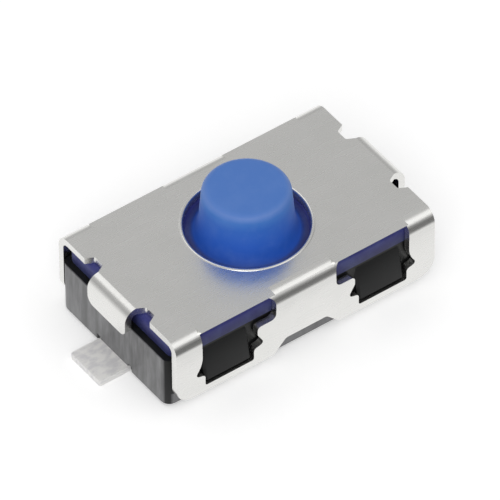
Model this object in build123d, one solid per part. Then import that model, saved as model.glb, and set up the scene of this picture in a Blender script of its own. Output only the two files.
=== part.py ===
from build123d import *
from math import cos, radians, sin
import os

# Surface-mount tactile switch with a silicone button, lying on its two terminals.
# All sizes in millimetres. X runs along the body, Y across it, Z up from the solder plane.

# ---- Cover: one stamped sheet, folded down over the sides and ends
plate_length = 6.1          # plate and side walls, end to end
cover_width = 3.83          # over the two side walls
cover_top = 1.76            # top face of the plate above the solder plane
sheet = 0.15                # sheet thickness
bend_radius = 0.28          # outer radius of the bends
wall_bottom = 0.19          # lower edge of the side walls
wall_corner_radius = 0.38   # rounded lower ends of the side walls
button_hole_diameter = 2.46
hole_edge_round = 0.05

# ---- Cover: end tabs and the relief notches beside them
tab_width = 1.22
tab_clearance = 0.01        # between a tab and the end of the base
tab_bottom = 1.13
tab_corner_radius = 0.18
relief_width = 0.45         # mouth of the notch, measured from the tab's edge
relief_floor = 0.26         # width of the notch at its bottom
relief_depth = 0.18
relief_round = 0.05

# ---- Cover: side windows that latch over the base, given from the middle of the wall
window_start = 50           # degrees round the bend from the plate, where the window begins
window_inner = 0.71         # upper, wide part of the window
window_outer = 2.44
window_shoulder = 1.15      # height where the wide part ends on the inner side
nose_reach = 1.15           # rounded nose of sheet that juts into the window
nose_drop = 0.20
nose_round = 0.09
latch_inner = 1.24          # lower, narrow part of the window around the lug
latch_outer = 2.38
latch_height = 0.62         # height where the narrow part begins
latch_floor = 0.35
barb_reach_inner = 0.25     # pointed nicks above the narrow part
barb_reach_outer = 0.24
barb_height = 0.68
barb_flare = 0.28           # height over which the outer nick spreads from the window's side
window_round = 0.05

# ---- Cover: recess in the lower edge of each side wall
recess_width = 0.96
recess_height = 0.30
recess_slope = 0.30         # how far each sloping side spreads towards the edge
recess_round = 0.10

# ---- Base: moulded housing
base_overhang = 0.10        # at each end, beyond the plate
standoff = 0.04             # underside of the base above the solder plane
side_clearance = 0.04       # between the base and a side wall
base_corner_radius = 0.20
base_edge_chamfer = 0.03
cavity_diameter = 2.90
contact_height = 0.60       # floor of the cavity and top of the rim contact
lug_clearance = 0.03        # between a lug and the edge of its window
lug_setback = 0.02          # foot of the lug's ramp behind the wall's outer face
lug_ramp = 0.16             # how far the ramp leans back towards its top
lug_top = 1.18
lug_round = 0.07
lug_edge_chamfer = 0.05
gate_diameter = 0.50        # moulding gate recess in the underside
gate_offset = 1.10          # across the body from its middle
gate_depth = 0.06
exit_pocket_radius = 0.06   # small pockets beside each terminal

# ---- Terminals: stamped strips moulded into the base
terminal_span = 7.66         # over both terminals
terminal_width = 0.96
terminal_sheet = 0.14
terminal_bend_radius = 0.12  # at the middle of the sheet
terminal_tip_round = 0.05
foot_inside = 0.35          # length of the flat foot inside the base
riser_run = 0.36            # length over which the strip climbs
rim_contact_outer = 2.76
rim_contact_inner = 2.16
lead_cover = 0.13           # plastic between the rim contact and the lead below it
centre_contact_diameter = 0.84
centre_contact_below_rim = 0.03
contact_wall = 0.12

# ---- Snap dome
dome_diameter = 2.60
dome_height = 0.36
dome_sheet = 0.06

# ---- Silicone moulding: seal round the edge, flexing web, button in the middle
seal_thickness = 0.38
seal_side_clearance = 0.02  # between the seal and a side wall
seal_end_clearance = 0.06   # seal short of the plate at each end
seal_corner_radius = 0.25
seal_edge_round = 0.12
web_root_diameter = 2.34    # lowest point of the groove round the web
web_groove_depth = 0.05     # groove below the plate's underside
web_thickness = 0.14
web_lip = 0.04              # wall left at the web's upper end
web_inner_height = 2.00     # where the web ends on the button
web_gap = 0.01              # running gap between the web and the button
button_foot_diameter = 1.10
button_diameter = 1.86      # where it passes through the web
button_top_diameter = 1.74
button_top = 2.72
button_edge_round = 0.12
dome_clearance = 0.02       # between the button's foot and the dome

# ---- Sizes that follow from the ones above
plate_end = plate_length / 2
base_end = plate_end + base_overhang
tab_end = base_end + tab_clearance + sheet
plate_underside = cover_top - sheet
wall_inner_face = cover_width / 2 - sheet
base_half_width = wall_inner_face - side_clearance
seal_seat = plate_underside - seal_thickness
lead_top = contact_height - terminal_sheet - lead_cover
dome_top = contact_height + dome_height
web_underside = plate_underside - web_groove_depth - web_thickness
SIDES = (-1, 1)


def mirrored_pair(shape, plane):
    """The shape and its mirror image about the plane."""
    return shape + mirror(shape, about=plane)


def cover_channel():
    """Top plate with its two side walls, bent along both long edges."""
    drop = cover_top - wall_bottom
    outer = Pos(0, cover_top - drop / 2) * Rectangle(cover_width, drop)
    outer = fillet(outer.vertices().group_by(Axis.Y)[-1], bend_radius)
    inner = Pos(0, plate_underside - drop / 2) * Rectangle(cover_width - 2 * sheet, drop)
    inner = fillet(inner.vertices().group_by(Axis.Y)[-1], bend_radius - sheet)
    channel = extrude(Plane.YZ * (outer - inner), plate_end, both=True)
    for side in SIDES:
        lower_ends = channel.edges().filter_by(Axis.Y).group_by(Axis.Z)[0]
        ends = lower_ends.filter_by(lambda edge: side * edge.center().X > 0)
        channel = fillet(ends, wall_corner_radius)
    return channel


def cover_tab():
    """Tab bent down over the +X end of the base."""
    run = 2 * bend_radius
    drop = cover_top - tab_bottom
    outer = Pos(tab_end - run / 2, cover_top - drop / 2) * Rectangle(run, drop)
    outer = fillet(outer.vertices().group_by(Axis.Y)[-1].sort_by(Axis.X)[-1], bend_radius)
    inner = Pos(tab_end - sheet - run / 2, plate_underside - drop / 2) * Rectangle(run, drop)
    inner = fillet(inner.vertices().group_by(Axis.Y)[-1].sort_by(Axis.X)[-1], bend_radius - sheet)
    tab = extrude(Plane.XZ * (outer - inner), tab_width / 2, both=True)
    return fillet(tab.edges().filter_by(Axis.X).group_by(Axis.Z)[0], tab_corner_radius)


def relief_notch():
    """Cutter for the notch on the +Y side of the +X tab."""
    start = tab_width / 2
    slope = (relief_width - relief_floor) / 2
    outline = Polyline(
        (tab_end, start),
        (plate_end, start),
        (plate_end - relief_depth, start + slope),
        (plate_end - relief_depth, start + slope + relief_floor),
        (plate_end, start + relief_width),
        (tab_end, start + relief_width),
        close=True,
    )
    notch = make_face(outline)
    notch = fillet(notch.vertices().group_by(Axis.X)[0], relief_round)
    return Pos(0, 0, plate_underside - sheet) * extrude(notch, 3 * sheet)


def window_sector():
    """Space outside the -Y bend, from the angle where the windows begin down to the edge."""
    axis_y = bend_radius - cover_width / 2
    axis_z = cover_top - bend_radius
    beyond = 2 * bend_radius
    across = axis_y - beyond * sin(radians(window_start))
    up = axis_z + beyond * cos(radians(window_start))
    section = Polyline((axis_y, axis_z), (across, up), (across, 0), (axis_y, 0), close=True)
    return extrude(Plane.YZ * make_face(section), plate_end, both=True)


def window_cutter():
    """Cutter for the window on the +X half of the -Y wall, up through the bend."""
    nose_middle = window_shoulder - nose_drop / 2
    outline = Polyline(
        (window_inner, cover_top + sheet),
        (window_inner, window_shoulder),
        (nose_reach, window_shoulder),
        (nose_reach, nose_middle - nose_drop / 2),
        (latch_inner - barb_reach_inner, barb_height),
        (latch_inner, latch_height),
        (latch_inner, latch_floor),
        (latch_outer, latch_floor),
        (latch_outer, latch_height),
        (latch_outer + barb_reach_outer, barb_height),
        (window_outer, barb_height + barb_flare),
        (window_outer, cover_top + sheet),
        close=True,
    )
    window = make_face(outline)
    nose = window.vertices().filter_by(lambda v: abs(v.X - nose_reach) < 0.001)
    window = fillet(nose, nose_round)
    foot = window.vertices().group_by(Axis.Y)[0]
    window = fillet(foot, window_round)
    return extrude(Plane.XZ * window, cover_width) & window_sector()


def edge_recess():
    """Cutter for the recess in the lower edge, through both side walls."""
    half = recess_width / 2
    outline = Polyline(
        (-half - recess_slope, wall_bottom),
        (-half, wall_bottom + recess_height),
        (half, wall_bottom + recess_height),
        (half + recess_slope, wall_bottom),
        close=True,
    )
    recess = make_face(outline)
    recess = fillet(recess.vertices().group_by(Axis.Y)[-1], recess_round)
    return extrude(Plane.XZ * recess, cover_width, both=True)


def make_cover():
    cover = cover_channel()
    cover += mirrored_pair(cover_tab(), Plane.YZ)
    notches = mirrored_pair(relief_notch(), Plane.XZ)
    cover -= mirrored_pair(notches, Plane.YZ)
    windows = mirrored_pair(window_cutter(), Plane.YZ)
    cover -= mirrored_pair(windows, Plane.XZ)
    cover -= edge_recess()
    cover -= Pos(0, 0, cover_top) * Cylinder(button_hole_diameter / 2, 4 * sheet)
    rim = cover.edges().filter_by(GeomType.CIRCLE).filter_by(
        lambda edge: abs(edge.radius - button_hole_diameter / 2) < 0.001
    )
    return fillet(rim.sort_by(Axis.Z)[-1], hole_edge_round)


def base_lug():
    """Ramped lug on the -Y side that latches in the +X window."""
    left = latch_inner + lug_clearance
    right = latch_outer - lug_clearance
    bottom = latch_floor + lug_clearance
    foot = lug_setback - cover_width / 2
    root = -base_half_width / 2
    section = Polyline(
        (foot, bottom),
        (foot + lug_ramp, lug_top),
        (root, lug_top),
        (root, bottom),
        close=True,
    )
    lug = Pos(left, 0, 0) * extrude(Plane.YZ * make_face(section), right - left)
    lug = fillet(lug.edges().filter_by(Axis.Y), lug_round)
    return chamfer(lug.faces().sort_by(Axis.Y)[0].edges(), lug_edge_chamfer)


def terminal_pockets():
    """Small round pockets in the end faces beside each terminal."""
    height = terminal_sheet + exit_pocket_radius
    pocket = Pos(base_end, terminal_width / 2 + exit_pocket_radius / 2, height / 2) * Cylinder(
        exit_pocket_radius, height
    )
    return mirrored_pair(mirrored_pair(pocket, Plane.XZ), Plane.YZ)


def make_base(terminals):
    """Housing with a round contact cavity, moulded round the terminals."""
    height = seal_seat - standoff
    base = Pos(0, 0, standoff + height / 2) * Box(2 * base_end, 2 * base_half_width, height)
    base = fillet(base.edges().filter_by(Axis.Z), base_corner_radius)
    base = chamfer(base.faces().sort_by(Axis.Z)[0].edges(), base_edge_chamfer)
    lugs = mirrored_pair(base_lug(), Plane.YZ)
    base += mirrored_pair(lugs, Plane.XZ)
    cavity_depth = seal_seat - contact_height
    base -= Pos(0, 0, contact_height + cavity_depth / 2) * Cylinder(cavity_diameter / 2, cavity_depth)
    base -= Pos(0, gate_offset, standoff) * Cylinder(gate_diameter / 2, 2 * gate_depth)
    base -= terminal_pockets()
    for terminal in terminals:
        base -= terminal
    return base


def strip(points):
    """Strip of terminal sheet bent along a line in the XZ plane."""
    path = FilletPolyline(*points, radius=terminal_bend_radius)
    start = Plane(origin=path @ 0, x_dir=(0, 1, 0), z_dir=path % 0)
    return sweep(start * Rectangle(terminal_width, terminal_sheet), path=path)


def terminal_strip(side, level, inner_end):
    """Foot, riser and inner arm of one terminal, as far in as inner_end."""
    middle = terminal_sheet / 2
    riser_foot = base_end - foot_inside
    riser_head = riser_foot - riser_run
    body = strip(
        [
            (side * terminal_span / 2, 0, middle),
            (side * riser_foot, 0, middle),
            (side * riser_head, 0, level - middle),
            (side * inner_end, 0, level - middle),
        ]
    )
    tip = body.edges().filter_by(Axis.Z).group_by(Axis.X)[0 if side < 0 else -1]
    return fillet(tip, terminal_tip_round)


def make_rim_terminal():
    """Terminal whose ring carries the rim of the dome."""
    ring = Cylinder(rim_contact_outer / 2, terminal_sheet)
    ring -= Cylinder(rim_contact_inner / 2, terminal_sheet)
    ring_middle = (rim_contact_outer + rim_contact_inner) / 4
    arm = terminal_strip(-1, contact_height, ring_middle)
    return arm + Pos(0, 0, contact_height - terminal_sheet / 2) * ring


def make_centre_terminal():
    """Terminal whose lead passes under the ring to a cupped pad in the middle."""
    arm = terminal_strip(1, lead_top, 0)
    pad_top = contact_height - centre_contact_below_rim
    pad_height = pad_top - lead_top + terminal_sheet
    pad_radius = centre_contact_diameter / 2
    pad = Pos(0, 0, pad_top - pad_height / 2) * Cylinder(pad_radius, pad_height)
    hollow = Pos(0, 0, pad_top - contact_wall - pad_height / 2) * Cylinder(
        pad_radius - contact_wall, pad_height
    )
    return arm + pad - hollow


def make_snap_dome():
    """Shallow sprung dome, its rim flat on the ring contact."""
    half_span = dome_diameter / 2
    rise = dome_height
    outer_radius = (half_span**2 + rise**2) / (2 * rise)
    centre_height = dome_top - outer_radius
    shell = Pos(0, 0, centre_height) * Sphere(outer_radius)
    shell -= Pos(0, 0, centre_height) * Sphere(outer_radius - dome_sheet)
    keep = Pos(0, 0, contact_height + rise) * Cylinder(dome_diameter, 2 * rise)
    return shell & keep


def web_profile():
    """Half section of the flexing web, from the seal up to the button."""
    inner = button_diameter / 2 + web_gap
    root = web_root_diameter / 2
    groove = plate_underside - web_groove_depth
    outer = button_hole_diameter / 2 + web_thickness
    corner = (button_hole_diameter / 2, plate_underside)
    top = Polyline((outer, plate_underside), corner, (root, groove))
    flare_out = root - inner - web_lip
    flare_up = web_inner_height - groove
    middle = (root, web_inner_height)
    flare = EllipticalCenterArc(middle, flare_out, flare_up, start_angle=180, arc_size=90)
    rest = Polyline(
        (inner + web_lip, web_inner_height),
        (inner, web_inner_height),
        (inner, web_underside),
        (outer, web_underside),
        (outer, plate_underside),
    )
    return make_face([*top.edges(), flare, *rest.edges()])


def make_seal():
    """Clamped flange of the silicone moulding, with the web that carries the button."""
    length = plate_length - 2 * seal_end_clearance
    width = 2 * (wall_inner_face - seal_side_clearance)
    flange = Pos(0, 0, seal_seat + seal_thickness / 2) * Box(length, width, seal_thickness)
    flange = fillet(flange.edges().filter_by(Axis.Z), seal_corner_radius)
    flange = fillet(flange.faces().sort_by(Axis.Z)[-1].edges(), seal_edge_round)
    outer = button_hole_diameter / 2 + web_thickness
    flange -= Pos(0, 0, seal_seat + seal_thickness / 2) * Cylinder(outer, seal_thickness)
    web = revolve(Plane.XZ * web_profile(), Axis.Z)
    return flange + web


def make_button():
    """Silicone button with the foot that presses the dome."""
    foot_bottom = dome_top + dome_clearance
    shoulder = web_underside
    outline = Polyline(
        (0, foot_bottom),
        (button_foot_diameter / 2, foot_bottom),
        (button_foot_diameter / 2, shoulder),
        (button_diameter / 2, shoulder),
        (button_diameter / 2, web_inner_height),
        (button_top_diameter / 2, button_top),
        (0, button_top),
        close=True,
    )
    body = revolve(Plane.XZ * make_face(outline), Axis.Z)
    rim = body.edges().filter_by(GeomType.CIRCLE).sort_by(Axis.Z)[-1]
    return fillet(rim, button_edge_round)


def main():
    rim_terminal = make_rim_terminal()
    centre_terminal = make_centre_terminal()
    nodes = {
        "cover": make_cover(),
        "base": make_base([rim_terminal, centre_terminal]),
        "terminal_rim_contact": rim_terminal,
        "terminal_centre_contact": centre_terminal,
        "snap_dome": make_snap_dome(),
        "rubber_seal": make_seal(),
        "rubber_button": make_button(),
    }
    os.makedirs("parts", exist_ok=True)
    for name, shape in nodes.items():
        export_step(shape, f"parts/{name}.step")


main()
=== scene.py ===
import math

import bpy
from mathutils import Matrix, Vector


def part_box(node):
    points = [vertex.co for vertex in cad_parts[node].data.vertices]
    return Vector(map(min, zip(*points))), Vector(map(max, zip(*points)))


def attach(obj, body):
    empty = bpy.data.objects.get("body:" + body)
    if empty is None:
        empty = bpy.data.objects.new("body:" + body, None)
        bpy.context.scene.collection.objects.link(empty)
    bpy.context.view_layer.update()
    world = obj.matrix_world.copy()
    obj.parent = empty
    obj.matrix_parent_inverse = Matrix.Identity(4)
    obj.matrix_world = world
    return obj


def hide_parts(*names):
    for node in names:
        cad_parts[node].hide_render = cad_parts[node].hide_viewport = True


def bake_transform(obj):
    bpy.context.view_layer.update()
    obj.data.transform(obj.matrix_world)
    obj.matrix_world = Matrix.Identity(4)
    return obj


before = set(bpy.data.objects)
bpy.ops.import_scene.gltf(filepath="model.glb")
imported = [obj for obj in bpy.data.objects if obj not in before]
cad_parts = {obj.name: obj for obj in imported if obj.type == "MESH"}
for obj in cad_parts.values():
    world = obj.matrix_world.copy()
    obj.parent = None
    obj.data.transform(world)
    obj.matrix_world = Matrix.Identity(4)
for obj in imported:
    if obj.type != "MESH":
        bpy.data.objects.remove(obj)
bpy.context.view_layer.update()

MM = 0.001                  # pieces are modelled in millimetres, and brought to metres when done
HAIR = 0.001                # closeness at which two places count as one
SAME_CORNER = 0.0005        # corners closer than this are merged
SPIN_STEPS = 96             # sides of everything round
HOUSING, BUTTON = "housing", "button"

# ---- Camera
VIEW_AZIMUTH = -35.85
VIEW_ELEVATION = 45.1
VIEW_ROLL = -0.47
CAMERA_DISTANCE = 200 * MM
FIELD_WIDTH = 9.6 * MM
LOOK_RIGHT = 0.05 * MM
LOOK_UP = 0.72 * MM
SENSOR_WIDTH = 36.0
NEAREST_SEEN, FARTHEST_SEEN = 1 * MM, 2.0

# ---- Base and terminals, in millimetres
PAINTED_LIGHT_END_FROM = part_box("base")[1].x / MM - 0.03   # painted light: the base's ends are painted lighter grey from this far out
PAINTED_LIGHT_SIDE_FROM = 1.7        # and its sides from this far out
PAINTED_LIGHT_SIDE_BELOW = 0.34      # and below this height
PAINTED_LIGHT_FADE = 0.02            # over which the black turns to the painted lighter grey
EDGE_ROUND = 0.012
BLACK = (0.012, 0.0125, 0.0125)

# ---- Silicone moulding, in millimetres
KNOB_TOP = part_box("rubber_button")[1].z / MM
KNOB_RADIUS = 0.875
KNOB_EDGE_ROUND = 0.17
KNOB_DRAFT = 0.04           # how much wider the knob is where the skirt begins
SKIRT_TOP = 2.08            # where the knob's side begins to flare
SKIRT_RADIUS = 1.12         # foot of the flare, in the groove
SKIRT_FOOT = 1.56
GROOVE_FLOOR_RADIUS = 1.19
GROOVE_RADIUS = 1.23        # where the groove meets the underside of the plate
SEAL_LOW, SEAL_HIGH = (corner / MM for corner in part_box("rubber_seal"))
SEAL_BOTTOM = SEAL_LOW.z
SEAL_TOP = 1.605
SEAL_CORNER_RADIUS = 0.25
SEAL_EDGE_ROUND = 0.12
COLLAR_RADIUS = 1.36        # spun part of the moulding, sunk into the seal
SEAL_HOLE_RADIUS = 1.27
WEB_UNDERSIDE = 1.37
FOOT_RADIUS = 0.55
FOOT_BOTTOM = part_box("rubber_button")[0].z / MM
FOOT_EDGE_ROUND = 0.06
KNOB_TONES_FROM, KNOB_TONES_TO = 1.5, 2.75        # heights, low to high
# Knob colours by height, with painted light and shade: painted shade makes the groove navy and the foot
# darker, painted light makes the upper part lighter, and a lighter band runs round the shoulder.
KNOB_COLOUR_AND_PAINTED_SHADING = (
    (0.04, (0.015, 0.025, 0.14)),
    (0.09, (0.016, 0.1, 0.54)),
    (0.4, (0.016, 0.12, 0.62)),
    (0.7, (0.018, 0.135, 0.6)),
    (0.85, (0.04, 0.19, 0.63)),
    (0.94, (0.12, 0.25, 0.65)),
    (0.98, (0.07, 0.21, 0.63)),
)
# Painted shade of the seal under the cover, by height: dark navy, darkest at the bottom.
SEAL_TONES_FROM, SEAL_TONES_TO = 1.2, 1.6
SEAL_PAINTED_SHADE = ((0.2, (0.02, 0.02, 0.1)), (0.95, (0.033, 0.036, 0.21)))
KNOB_TONES_WITHIN, SEAL_TONES_BEYOND = 1.1, 1.22  # radii over which the knob's colours give way to the seal's painted shade
DUST = (0.3, 0.45, 0.8)

# ---- Cover, in millimetres
COVER_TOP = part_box("cover")[1].z / MM
COVER_HALF_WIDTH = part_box("cover")[1].y / MM
SHEET = 0.15
BEND_RADIUS = 0.28
BEND_AXIS_Y = COVER_HALF_WIDTH - BEND_RADIUS
BEND_AXIS_Z = COVER_TOP - BEND_RADIUS
WINDOW_INNER = 0.71
WINDOW_OUTER = 2.44
WINDOWS = ((-1, -1), (-1, 1), (1, -1), (1, 1))    # the side of each, along and across
LIP_REACH = {-1: 0.25, 1: 0.13}   # of the flat sheet over the near and the far windows
LIP_UNDERCUT = 0.5          # how much of that its lower edge stands back
LIP_CUT_WIDER = 0.004       # the cut for a lip runs this far into the sheet beside the window
LIP_CUT_DEPTH = 0.4
LIP_CUT_SPARE = 0.1         # how far a cut runs out into the air
CORNER_RADIUS = 0.18        # upper inner corner of a window
CORNER_TOP = 1.7            # where that corner runs into the lip
CORNER_INSIDE = 1.72        # how far in it starts
CORNER_OVERLAP = 0.01
WINDOW_CORNERS = (          # distance along the cover, height and cut-off of each
    (2.44, 0.96, 0.15),
    (2.62, 0.68, 0.1),
    (2.38, 0.62, 0.06),
    (1.24, 0.62, 0.06),
    (0.99, 0.68, 0.1),
    (0.71, 1.15, 0.12),
)
RIM_RADIUS = 1.275          # middle of the raised rim round the hole
RIM_ROUND = 0.045
RIM_HEIGHT = 0.02

# ---- Studio
LAMP_DISTANCE = 300 * MM
CARD_SIZE = 0.6
CARD_SHADE = 0.8            # how light the card is to what stands on it
CARD_GLOW = 0.3             # what lifts the card to white as seen directly
CARD_WHITE_FROM = -3.0      # as mirrored, the card is white from here back, in millimetres
CARD_GREY_FROM = -4.9       # and grey from here forward
CARD_GREY = 0.2
FRONT_DIRECTION = (0.42, -0.91, 0)
FRONT_BLEND = (0.1, 0.6)    # how far towards the front the backdrop gives way to the dark front
# Backdrop and front: levels of grey from the horizon, 0, to overhead, 1
BACKDROP_LEVELS = ((0.0, 0.9), (0.15, 0.75), (0.45, 0.4), (0.7, 0.55), (0.85, 0.56), (1.0, 0.58))
FRONT_LEVELS = ((0.0, 0.12), (0.2, 0.2), (0.42, 0.48), (0.62, 0.68), (0.8, 0.62), (1.0, 0.6))


# ---- Working tools


def deselect_all():
    bpy.ops.object.select_all(action="DESELECT")


def make_active(piece):
    deselect_all()
    piece.select_set(True)
    bpy.context.view_layer.objects.active = piece


def smooth(piece, degrees):
    make_active(piece)
    bpy.ops.object.shade_smooth_by_angle(angle=math.radians(degrees))


def to_metres(piece):
    """Brings a piece that was modelled in millimetres to its real size."""
    make_active(piece)
    piece.scale = (MM, MM, MM)
    bpy.ops.object.transform_apply(location=True, rotation=True, scale=True)


def arc(centre, radius, start, end, steps):
    """Points along an arc in the profile plane, angles in degrees from the outward direction."""
    points = []
    for step in range(steps + 1):
        angle = math.radians(start + (end - start) * step / steps)
        points.append((centre[0] + radius * math.cos(angle), centre[1] + radius * math.sin(angle)))
    return points


def spin_profile(name, profile):
    """Closed turned solid: draws the (radius, height) profile by extruding a point, then spins it."""
    deselect_all()
    bpy.ops.mesh.primitive_plane_add(size=1, location=(profile[0][0], 0, profile[0][1]))
    piece = bpy.context.object
    piece.name = name
    bpy.ops.object.transform_apply(location=True, rotation=True, scale=True)
    bpy.ops.object.mode_set(mode="EDIT")
    bpy.ops.mesh.select_mode(type="VERT")
    bpy.ops.mesh.select_all(action="SELECT")
    bpy.ops.mesh.merge(type="CENTER")
    for before, after in zip(profile, profile[1:]):
        step = (after[0] - before[0], 0, after[1] - before[1])
        bpy.ops.mesh.extrude_region_move(TRANSFORM_OT_translate={"value": step})
    bpy.ops.mesh.select_all(action="SELECT")
    bpy.ops.mesh.spin(steps=SPIN_STEPS, angle=2 * math.pi, center=(0, 0, 0), axis=(0, 0, 1))
    bpy.ops.mesh.select_all(action="SELECT")
    bpy.ops.mesh.remove_doubles(threshold=SAME_CORNER)
    bpy.ops.mesh.normals_make_consistent(inside=False)
    bpy.ops.object.mode_set(mode="OBJECT")
    return piece


def bevel_edges(piece, chosen, width, segments):
    """Rounds the edges for which chosen(start, end) is true."""
    make_active(piece)
    bpy.context.tool_settings.mesh_select_mode = (False, True, False)
    bpy.ops.object.mode_set(mode="EDIT")
    bpy.ops.mesh.select_all(action="DESELECT")
    bpy.ops.object.mode_set(mode="OBJECT")
    for edge in piece.data.edges:
        start, end = (piece.data.vertices[index].co for index in edge.vertices)
        edge.select = chosen(start, end)
    bpy.ops.object.mode_set(mode="EDIT")
    bpy.ops.mesh.bevel(offset=width, segments=segments, profile=0.5)
    bpy.ops.object.mode_set(mode="OBJECT")


def combine(piece, other, operation, touching=False):
    """Boolean of two closed meshes, which uses up the other one. Touching: the piece touches itself."""
    cut = piece.modifiers.new(operation.lower(), "BOOLEAN")
    cut.operation = operation
    cut.object = other
    cut.solver = "EXACT"
    cut.use_self = touching
    make_active(piece)
    bpy.ops.object.modifier_apply(modifier=cut.name)
    bpy.data.objects.remove(other)


# ---- Materials


def new_material(name, **values):
    """A material with its Principled shader's sockets set, and the tools to extend it."""
    material = bpy.data.materials.new(name)
    material.use_nodes = True
    shader = material.node_tree.nodes["Principled BSDF"]
    for socket, value in values.items():
        shader.inputs[socket.replace("_", " ")].default_value = value
    return material, material.node_tree.nodes, material.node_tree.links, shader


def object_coordinates(nodes, links, scale=(1, 1, 1)):
    """Object coordinates in millimetres, stretched by scale."""
    place = nodes.new("ShaderNodeTexCoord")
    mapping = nodes.new("ShaderNodeMapping")
    mapping.inputs["Scale"].default_value = [s / MM for s in scale]
    links.new(place.outputs["Object"], mapping.inputs["Vector"])
    return mapping.outputs["Vector"]


def noise(nodes, links, vector, scale, detail=3.0, roughness=0.5):
    texture = nodes.new("ShaderNodeTexNoise")
    texture.inputs["Scale"].default_value = scale
    texture.inputs["Detail"].default_value = detail
    texture.inputs["Roughness"].default_value = roughness
    links.new(vector, texture.inputs["Vector"])
    return texture.outputs["Fac"]


def remap(nodes, links, value, low, high, to_low=0.0, to_high=1.0):
    node = nodes.new("ShaderNodeMapRange")
    node.inputs["From Min"].default_value = low
    node.inputs["From Max"].default_value = high
    node.inputs["To Min"].default_value = to_low
    node.inputs["To Max"].default_value = to_high
    links.new(value, node.inputs["Value"])
    return node.outputs["Result"]


def mix_colour(nodes, links, factor, first, second):
    """Blend of two colours or colour outputs by a factor output."""
    node = nodes.new("ShaderNodeMix")
    node.data_type = "RGBA"
    for socket, colour in (("A", first), ("B", second)):
        if isinstance(colour, tuple):
            node.inputs[socket].default_value = (*colour, 1)
        else:
            links.new(colour, node.inputs[socket])
    links.new(factor, node.inputs["Factor"])
    return node.outputs["Result"]


def colour_ramp(nodes, links, value, stops):
    """Colour ramp from (position, colour) pairs."""
    node = nodes.new("ShaderNodeValToRGB")
    elements = node.color_ramp.elements
    elements[0].position, elements[1].position = stops[0][0], stops[-1][0]
    elements[0].color = (*stops[0][1], 1)
    elements[1].color = (*stops[-1][1], 1)
    for position, colour in stops[1:-1]:
        elements.new(position).color = (*colour, 1)
    links.new(value, node.inputs["Fac"])
    return node.outputs["Color"]


def grey_ramp(nodes, links, value, levels):
    """Colour ramp of greys from (position, level) pairs."""
    return colour_ramp(nodes, links, value, [(place, (level,) * 3) for place, level in levels])


def bump(nodes, links, shader, height, depth, strength=1.0):
    """Adds relief of that depth in metres to the shader."""
    node = nodes.new("ShaderNodeBump")
    node.inputs["Strength"].default_value = strength
    node.inputs["Distance"].default_value = depth
    links.new(height, node.inputs["Height"])
    links.new(node.outputs["Normal"], shader.inputs["Normal"])


def nickel_sheet():
    """Nickel-plated strip, faintly clouded, with a fine rolling grain."""
    material, nodes, links, shader = new_material(
        "nickel_sheet", Base_Color=(0.8, 0.795, 0.775, 1), Metallic=1.0, Roughness=0.3
    )
    cloud = noise(nodes, links, object_coordinates(nodes, links), 1.6, 3.0)
    grain = noise(nodes, links, object_coordinates(nodes, links, (1, 4, 4)), 2.0, 2.0)
    clouded = remap(nodes, links, cloud, 0.35, 0.65)
    colour = mix_colour(nodes, links, clouded, (0.79, 0.787, 0.765), (0.81, 0.805, 0.785))
    links.new(colour, shader.inputs["Base Color"])
    links.new(remap(nodes, links, grain, 0.3, 0.7, 0.25, 0.29), shader.inputs["Roughness"])
    return material


def tinned_strip():
    """Dull tin with small pale and dark blotches."""
    material, nodes, links, shader = new_material(
        "tinned_strip", Base_Color=(0.88, 0.87, 0.86, 1), Metallic=0.1, Roughness=0.5
    )
    blotches = noise(nodes, links, object_coordinates(nodes, links, (0.6, 1, 1)), 9.0, 4.0)
    blotched = remap(nodes, links, blotches, 0.38, 0.58)
    colour = mix_colour(nodes, links, blotched, (0.84, 0.83, 0.84), (1.0, 0.99, 0.97))
    links.new(colour, shader.inputs["Base Color"])
    links.new(remap(nodes, links, blotches, 0.35, 0.65, 0.42, 0.58), shader.inputs["Roughness"])
    bump(nodes, links, shader, blotches, 0.004 * MM)
    return material


def joined_factor(nodes, links, operation, first, second):
    """Two factor outputs taken together."""
    node = nodes.new("ShaderNodeMath")
    node.operation = operation
    links.new(first, node.inputs[0])
    links.new(second, node.inputs[1])
    return node.outputs["Value"]


def black_moulding():
    """Glossy black; the end faces and lower sides are painted a streaked lighter grey, as painted light
    where light falls on them.
    """
    material, nodes, links, shader = new_material(
        "black_moulding", Base_Color=(*BLACK, 1), Roughness=0.33, Specular_IOR_Level=0.22
    )
    place = nodes.new("ShaderNodeTexCoord")
    across = nodes.new("ShaderNodeVectorMath")
    across.operation = "ABSOLUTE"
    links.new(place.outputs["Object"], across.inputs[0])
    split = nodes.new("ShaderNodeSeparateXYZ")
    links.new(across.outputs["Vector"], split.inputs["Vector"])

    def beyond(axis, start, fade):
        return remap(nodes, links, split.outputs[axis], start * MM, (start + fade) * MM)

    # Painted light: mask of the end faces and the lower sides, which are painted lighter grey for the
    # light that falls on them.
    end = beyond("X", PAINTED_LIGHT_END_FROM, PAINTED_LIGHT_FADE)
    side = beyond("Y", PAINTED_LIGHT_SIDE_FROM, PAINTED_LIGHT_FADE)
    low = beyond("Z", PAINTED_LIGHT_SIDE_BELOW, -PAINTED_LIGHT_FADE)
    low_side = joined_factor(nodes, links, "MULTIPLY", side, low)
    outer = joined_factor(nodes, links, "MAXIMUM", end, low_side)
    streaks = noise(nodes, links, object_coordinates(nodes, links, (1, 3, 0.5)), 2.0, 4.0, 0.6)
    streaked = remap(nodes, links, streaks, 0.35, 0.65)
    # painted light: the lighter, streaked grey of the lit end faces and lower sides
    painted_light_grey = mix_colour(nodes, links, streaked, (0.145, 0.145, 0.148), (0.26, 0.26, 0.266))
    links.new(mix_colour(nodes, links, outer, BLACK, painted_light_grey), shader.inputs["Base Color"])
    skin = noise(nodes, links, object_coordinates(nodes, links), 18.0, 3.0)
    bump(nodes, links, shader, skin, 0.0008 * MM)
    return material


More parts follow.
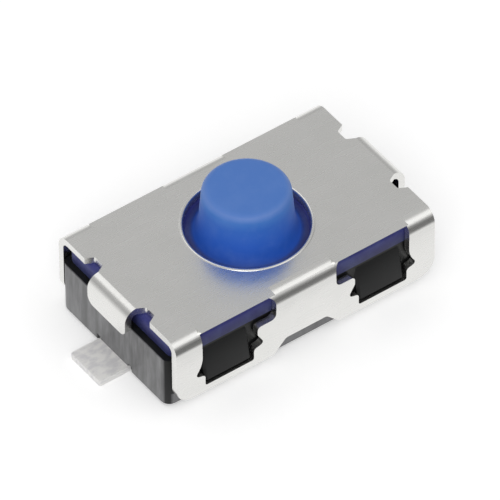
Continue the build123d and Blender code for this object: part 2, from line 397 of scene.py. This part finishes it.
def blue_silicone():
    """Bright on the knob and skirt, with painted light on the knob's upper part; painted shade darkens
    the groove and the seal out under the cover.
    """
    material, nodes, links, shader = new_material(
        "blue_silicone",
        Base_Color=(0.03, 0.1, 0.5, 1),
        Roughness=0.5,
        Sheen_Weight=0.15,
        Sheen_Roughness=0.3,
        Sheen_Tint=(0.75, 0.82, 1, 1),
    )
    place = nodes.new("ShaderNodeTexCoord")
    split = nodes.new("ShaderNodeSeparateXYZ")
    links.new(place.outputs["Object"], split.inputs["Vector"])
    height = split.outputs["Z"]
    knob_height = remap(nodes, links, height, KNOB_TONES_FROM * MM, KNOB_TONES_TO * MM)
    # Knob colour by height, with painted shade low down and painted light high up.
    knob = colour_ramp(nodes, links, knob_height, KNOB_COLOUR_AND_PAINTED_SHADING)
    # Painted shade: the seal under the cover is painted dark navy, darker towards its bottom.
    seal_height = remap(nodes, links, height, SEAL_TONES_FROM * MM, SEAL_TONES_TO * MM)
    seal = colour_ramp(nodes, links, seal_height, SEAL_PAINTED_SHADE)
    spread = nodes.new("ShaderNodeCombineXYZ")
    links.new(split.outputs["X"], spread.inputs["X"])
    links.new(split.outputs["Y"], spread.inputs["Y"])
    distance = nodes.new("ShaderNodeVectorMath")
    distance.operation = "LENGTH"
    links.new(spread.outputs["Vector"], distance.inputs[0])
    # Beyond the knob, the seal's painted shade takes over.
    seal_shade_mask = remap(
        nodes, links, distance.outputs["Value"], KNOB_TONES_WITHIN * MM, SEAL_TONES_BEYOND * MM
    )
    painted_shading_colour = mix_colour(nodes, links, seal_shade_mask, knob, seal)
    cloud = noise(nodes, links, object_coordinates(nodes, links), 2.2, 5.0, 0.6)
    dusty = remap(nodes, links, cloud, 0.45, 0.8, 0.0, 0.1)
    links.new(mix_colour(nodes, links, dusty, painted_shading_colour, DUST), shader.inputs["Base Color"])
    skin = noise(nodes, links, object_coordinates(nodes, links), 18.0, 4.0)
    bump(nodes, links, shader, skin, 0.001 * MM)
    return material


# ---- Pieces


def dress(node, material):
    """Gives a CAD node its material."""
    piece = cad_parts[node]
    for place in piece.material_slots:
        place.material = material
    smooth(piece, 28)


def block(low, high):
    """Closed box between two corners."""
    deselect_all()
    middle = [(a + b) / 2 for a, b in zip(low, high)]
    bpy.ops.mesh.primitive_cube_add(size=1, location=middle)
    piece = bpy.context.object
    piece.scale = [b - a for a, b in zip(low, high)]
    bpy.ops.object.transform_apply(location=True, rotation=True, scale=True)
    return piece


def select_faces(piece, chosen):
    """Selects, in edit mode, the faces for which chosen(centre, normal) is true."""
    make_active(piece)
    bpy.ops.object.mode_set(mode="EDIT")
    bpy.ops.mesh.select_mode(type="FACE")
    bpy.ops.mesh.select_all(action="DESELECT")
    bpy.ops.object.mode_set(mode="OBJECT")
    for face in piece.data.polygons:
        face.select = chosen(face.center, face.normal)
    bpy.ops.object.mode_set(mode="EDIT")


def both_ways(side, start, end):
    """Span from start to end on one side of the middle, lowest first."""
    return sorted((side * start, side * end))


def lips_over_windows(cover):
    """Over each window no wall pulls the sheet down: it runs on flat and ends in an undercut edge."""
    inner, outer = WINDOW_INNER - LIP_CUT_WIDER, WINDOW_OUTER + LIP_CUT_WIDER
    for x_side, y_side in WINDOWS:
        x_low, x_high = both_ways(x_side, inner, outer)
        y_low, y_high = both_ways(y_side, BEND_AXIS_Y, COVER_HALF_WIDTH + LIP_CUT_SPARE)
        away = block(
            (x_low, y_low, COVER_TOP - LIP_CUT_DEPTH), (x_high, y_high, COVER_TOP + LIP_CUT_SPARE)
        )
        combine(cover, away, "DIFFERENCE")
    for y_side, reach in LIP_REACH.items():
        select_faces(
            cover,
            lambda centre, normal: normal.y * y_side > 0.99
            and abs(centre.y - y_side * BEND_AXIS_Y) < HAIR
            and centre.z > COVER_TOP - SHEET,
        )
        bpy.ops.mesh.extrude_region_move(TRANSFORM_OT_translate={"value": (0, y_side * reach, 0)})
        bpy.ops.mesh.select_mode(type="VERT")
        bpy.ops.mesh.select_all(action="DESELECT")
        bpy.ops.object.mode_set(mode="OBJECT")
        edge = y_side * (BEND_AXIS_Y + reach)
        for vertex in cover.data.vertices:
            on_edge = abs(vertex.co.y - edge) < HAIR
            vertex.select = on_edge and abs(vertex.co.z - (COVER_TOP - SHEET)) < HAIR
        bpy.ops.object.mode_set(mode="EDIT")
        bpy.ops.transform.translate(value=(0, -y_side * LIP_UNDERCUT * reach, 0))
        bpy.ops.object.mode_set(mode="OBJECT")


def bar(centre, axis, radius, length=1):
    """Round bar along one axis."""
    deselect_all()
    turn = (math.pi / 2, 0, 0) if axis == "Y" else (0, math.pi / 2, 0)
    bpy.ops.mesh.primitive_cylinder_add(
        vertices=SPIN_STEPS, radius=radius, depth=length, location=centre, rotation=turn
    )
    return bpy.context.object


def inner_corners_over_windows(cover):
    """Near the middle, each window's upper corner is well rounded, where part of the bend stands on."""
    low, far = CORNER_TOP - CORNER_RADIUS, WINDOW_INNER + CORNER_RADIUS
    for x_side, y_side in WINDOWS:
        x_low, x_high = both_ways(x_side, WINDOW_INNER - CORNER_OVERLAP, far)
        y_low, y_high = both_ways(y_side, CORNER_INSIDE, COVER_HALF_WIDTH + CORNER_OVERLAP)
        web = block((x_low, y_low, low), (x_high, y_high, CORNER_TOP))
        corner = bar((x_side * far, y_side * COVER_HALF_WIDTH, low), "Y", CORNER_RADIUS)
        combine(web, corner, "DIFFERENCE")
        bend = bar((x_side * WINDOW_INNER, y_side * BEND_AXIS_Y, BEND_AXIS_Z), "X", BEND_RADIUS - HAIR)
        combine(web, bend, "INTERSECT")
        combine(cover, web, "UNION", touching=True)


def round_window_corners(cover):
    """The punch leaves no sharp corner in a window."""
    whole_faces(cover)
    wall = COVER_HALF_WIDTH - SHEET / 2
    for along, height, cut_off in WINDOW_CORNERS:

        def at_corner(a, b):
            through = a.y * b.y > 0 and abs(abs(a.y) + abs(b.y) - 2 * wall) < 10 * HAIR
            in_line = abs(a.x - b.x) < 2 * HAIR and abs(a.z - b.z) < 2 * HAIR
            near = abs(abs(a.x) - along) < 10 * HAIR and abs(a.z - height) < 10 * HAIR
            return through and in_line and near

        bevel_edges(cover, at_corner, cut_off, 4)


def raised_rim(cover):
    """Rim that the punch leaves standing round the hole."""
    deselect_all()
    bpy.ops.mesh.primitive_torus_add(
        location=(0, 0, COVER_TOP + RIM_HEIGHT - RIM_ROUND),
        major_radius=RIM_RADIUS,
        minor_radius=RIM_ROUND,
        major_segments=SPIN_STEPS,
        minor_segments=20,
    )
    combine(cover, bpy.context.object, "UNION")


def join_corners(piece):
    """Joins the corners that lie on each other, so that the loose triangles become one skin."""
    make_active(piece)
    bpy.ops.object.mode_set(mode="EDIT")
    bpy.ops.mesh.select_all(action="SELECT")
    bpy.ops.mesh.remove_doubles(threshold=SAME_CORNER)
    bpy.ops.object.mode_set(mode="OBJECT")


def whole_faces(piece):
    """Turns neighbouring triangles that lie in one plane into one face."""
    make_active(piece)
    bpy.ops.object.mode_set(mode="EDIT")
    bpy.ops.mesh.select_all(action="SELECT")
    bpy.ops.mesh.dissolve_limited(angle_limit=math.radians(0.5), delimit=set())
    bpy.ops.object.mode_set(mode="OBJECT")


def mark_flats(piece):
    """Lets the flats keep their own shading where they run into a bend or a rounded edge."""
    select_faces(piece, lambda centre, normal: max(abs(part) for part in normal) > 0.9999)
    bpy.ops.mesh.mod_weighted_strength(set=True, face_strength="STRONG")
    bpy.ops.object.mode_set(mode="OBJECT")


def joined_copy(node, name, material, edge=0.0, steps=()):
    """Copy of a CAD node, shaped by the steps: whole faces for loose triangles, edges finely rounded."""
    piece = bpy.data.objects.new(name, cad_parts[node].data.copy())
    bpy.context.scene.collection.objects.link(piece)
    make_active(piece)
    piece.scale = (1 / MM, 1 / MM, 1 / MM)
    bpy.ops.object.transform_apply(location=True, rotation=True, scale=True)
    bpy.ops.mesh.customdata_custom_splitnormals_clear()
    join_corners(piece)
    for step in steps:
        step(piece)
    whole_faces(piece)
    mark_flats(piece)
    if edge:
        rounding = piece.modifiers.new("rounding", "BEVEL")
        rounding.width = edge
        rounding.segments = 2
        rounding.limit_method = "ANGLE"
        rounding.angle_limit = math.radians(35)
        rounding.face_strength_mode = "FSTR_NEW"
        make_active(piece)
        bpy.ops.object.modifier_apply(modifier=rounding.name)
    to_metres(piece)
    piece.data.materials.clear()
    piece.data.materials.append(material)
    smooth(piece, 30)
    normals = piece.modifiers.new("normals", "WEIGHTED_NORMAL")
    normals.mode = "CORNER_ANGLE"
    normals.use_face_influence = True
    normals.keep_sharp = True
    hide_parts(node)
    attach(piece, HOUSING)


def seal_slab():
    """Seal flange: a rectangle with rounded corners and a rounded upper edge, open in the middle."""
    size = SEAL_HIGH - SEAL_LOW
    height = SEAL_TOP - SEAL_BOTTOM
    deselect_all()
    bpy.ops.mesh.primitive_cube_add(size=1, location=(0, 0, SEAL_BOTTOM + height / 2))
    slab = bpy.context.object
    slab.name = "silicone_moulding"
    slab.scale = (size.x, size.y, height)
    bpy.ops.object.transform_apply(location=True, rotation=True, scale=True)
    bevel_edges(slab, lambda a, b: abs(a.z - b.z) > height / 2, SEAL_CORNER_RADIUS, 8)
    top = SEAL_TOP - HAIR
    bevel_edges(slab, lambda a, b: a.z > top and b.z > top, SEAL_EDGE_ROUND, 5)
    bpy.ops.mesh.primitive_cylinder_add(
        vertices=SPIN_STEPS,
        radius=SEAL_HOLE_RADIUS,
        depth=4 * height,
        location=(0, 0, SEAL_TOP),
    )
    combine(slab, bpy.context.object, "DIFFERENCE")
    return slab


def knob_and_web():
    """Knob, its flared skirt and the thin web, turned as one solid."""
    wide = KNOB_RADIUS + KNOB_DRAFT
    shoulder = arc(
        (KNOB_RADIUS - KNOB_EDGE_ROUND, KNOB_TOP - KNOB_EDGE_ROUND), KNOB_EDGE_ROUND, 90, 4, 6
    )
    flare_out = SKIRT_RADIUS - wide
    flare_up = SKIRT_TOP - SKIRT_FOOT
    flare = []
    for step in range(1, 9):
        angle = math.radians(90 * step / 8)
        flare.append(
            (SKIRT_RADIUS - flare_out * math.cos(angle), SKIRT_TOP - flare_up * math.sin(angle))
        )
    profile = [
        (0, KNOB_TOP),
        *shoulder,
        (wide, SKIRT_TOP),
        *flare,
        (GROOVE_FLOOR_RADIUS, SKIRT_FOOT),
        (GROOVE_RADIUS, SEAL_TOP - 0.01),
        (COLLAR_RADIUS, SEAL_TOP - 0.03),
        (COLLAR_RADIUS, SEAL_BOTTOM + 0.03),
        (GROOVE_RADIUS, WEB_UNDERSIDE),
        (0, WEB_UNDERSIDE),
    ]
    return spin_profile("knob_and_web", profile)


def make_silicone(material):
    """Seal, web and knob in one moulding, and the foot under the knob."""
    moulding = seal_slab()
    combine(moulding, knob_and_web(), "UNION")
    to_metres(moulding)
    moulding.data.materials.clear()
    moulding.data.materials.append(material)
    smooth(moulding, 40)
    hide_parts("rubber_seal")
    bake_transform(moulding)
    foot_edge = (FOOT_RADIUS - FOOT_EDGE_ROUND, FOOT_BOTTOM + FOOT_EDGE_ROUND)
    foot = spin_profile(
        "plunger_foot",
        [
            (0, WEB_UNDERSIDE),
            (FOOT_RADIUS, WEB_UNDERSIDE),
            *arc(foot_edge, FOOT_EDGE_ROUND, 0, -90, 4),
            (0, FOOT_BOTTOM),
        ],
    )
    to_metres(foot)
    foot.data.materials.append(material)
    smooth(foot, 40)
    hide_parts("rubber_button")
    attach(foot, BUTTON)


# ---- Studio


def make_floor():
    """White card under the switch; what mirrors it sees it fade to grey towards the front."""
    deselect_all()
    bpy.ops.mesh.primitive_plane_add(size=CARD_SIZE, location=(0, 0, 0))
    floor = bpy.context.object
    floor.name = "floor"
    material, nodes, links, shader = new_material("white_card", Roughness=0.9)
    path = nodes.new("ShaderNodeLightPath")
    seen = path.outputs["Is Camera Ray"]
    links.new(mix_colour(nodes, links, seen, (CARD_SHADE,) * 3, (1, 1, 1)), shader.inputs["Base Color"])
    links.new(mix_colour(nodes, links, seen, (0, 0, 0), (1, 1, 1)), shader.inputs["Emission Color"])
    shader.inputs["Emission Strength"].default_value = CARD_GLOW
    place = nodes.new("ShaderNodeTexCoord")
    split = nodes.new("ShaderNodeSeparateXYZ")
    links.new(place.outputs["Object"], split.inputs["Vector"])
    level = remap(nodes, links, split.outputs["Y"], CARD_GREY_FROM * MM, CARD_WHITE_FROM * MM)
    mirrored = nodes.new("ShaderNodeEmission")
    links.new(mix_colour(nodes, links, level, (CARD_GREY,) * 3, (1, 1, 1)), mirrored.inputs["Color"])
    choose = nodes.new("ShaderNodeMixShader")
    links.new(path.outputs["Is Glossy Ray"], choose.inputs["Fac"])
    links.new(shader.outputs["BSDF"], choose.inputs[1])
    links.new(mirrored.outputs["Emission"], choose.inputs[2])
    links.new(choose.outputs["Shader"], nodes["Material Output"].inputs["Surface"])
    floor.data.materials.append(material)


def make_world():
    """Studio: pale all round, and dark near the horizon in front."""
    world = bpy.data.worlds.new("studio")
    bpy.context.scene.world = world
    world.use_nodes = True
    nodes, links = world.node_tree.nodes, world.node_tree.links
    place = nodes.new("ShaderNodeTexCoord")
    split = nodes.new("ShaderNodeSeparateXYZ")
    links.new(place.outputs["Generated"], split.inputs["Vector"])
    height = split.outputs["Z"]
    towards = nodes.new("ShaderNodeVectorMath")
    towards.operation = "DOT_PRODUCT"
    towards.inputs[1].default_value = FRONT_DIRECTION
    links.new(place.outputs["Generated"], towards.inputs[0])
    in_front = remap(nodes, links, towards.outputs["Value"], *FRONT_BLEND)
    backdrop = grey_ramp(nodes, links, height, BACKDROP_LEVELS)
    front = grey_ramp(nodes, links, height, FRONT_LEVELS)
    links.new(mix_colour(nodes, links, in_front, backdrop, front), nodes["Background"].inputs["Color"])
    nodes["Background"].inputs["Strength"].default_value = 1.0


def soft_box(name, direction, half_angle, power):
    """Square lamp far off in that direction, pointing at the switch."""
    light = bpy.data.lights.new(name, "AREA")
    light.shape = "SQUARE"
    light.size = 2 * LAMP_DISTANCE * math.tan(math.radians(half_angle))
    light.energy = power
    lamp = bpy.data.objects.new(name, light)
    bpy.context.scene.collection.objects.link(lamp)
    lamp.location = Vector(direction).normalized() * LAMP_DISTANCE
    lamp.rotation_euler = (-lamp.location).to_track_quat("-Z", "Y").to_euler()


def make_camera():
    """Camera that looks down on the near left corner."""
    azimuth, elevation = math.radians(VIEW_AZIMUTH), math.radians(VIEW_ELEVATION)
    back = Vector(
        (
            math.sin(azimuth) * math.cos(elevation),
            -math.cos(azimuth) * math.cos(elevation),
            math.sin(elevation),
        )
    )
    right = Vector((math.cos(azimuth), math.sin(azimuth), 0))
    up = back.cross(right)
    roll = math.radians(VIEW_ROLL)
    right, up = (
        math.cos(roll) * right + math.sin(roll) * up,
        -math.sin(roll) * right + math.cos(roll) * up,
    )
    data = bpy.data.cameras.new("camera")
    data.sensor_width = SENSOR_WIDTH
    data.lens = SENSOR_WIDTH * CAMERA_DISTANCE / FIELD_WIDTH
    data.clip_start, data.clip_end = NEAREST_SEEN, FARTHEST_SEEN
    camera = bpy.data.objects.new("camera", data)
    bpy.context.scene.collection.objects.link(camera)
    place = back * CAMERA_DISTANCE + right * LOOK_RIGHT + up * LOOK_UP
    turn = Matrix((right, up, back)).transposed().to_4x4()
    camera.matrix_world = Matrix.Translation(place) @ turn
    bpy.context.scene.camera = camera


make_camera()
make_world()
make_floor()
soft_box("front_box", (0.41, -0.48, 0.775), 17, 0.06)
soft_box("back_box", (-0.06, 0.57, 0.82), 16, 0.055)
soft_box("side_box", (-0.55, -0.65, 0.52), 18, 0.25)

joined_copy(
    "cover",
    "stamped_cover",
    nickel_sheet(),
    steps=(lips_over_windows, inner_corners_over_windows, raised_rim, round_window_corners),
)
strip = tinned_strip()
joined_copy("terminal_rim_contact", "rim_terminal", strip, EDGE_ROUND)
joined_copy("terminal_centre_contact", "centre_terminal", strip, EDGE_ROUND)
dress("snap_dome", strip)
joined_copy("base", "moulded_base", black_moulding(), EDGE_ROUND)
make_silicone(blue_silicone())

bpy.context.scene.view_settings.view_transform = "Standard"
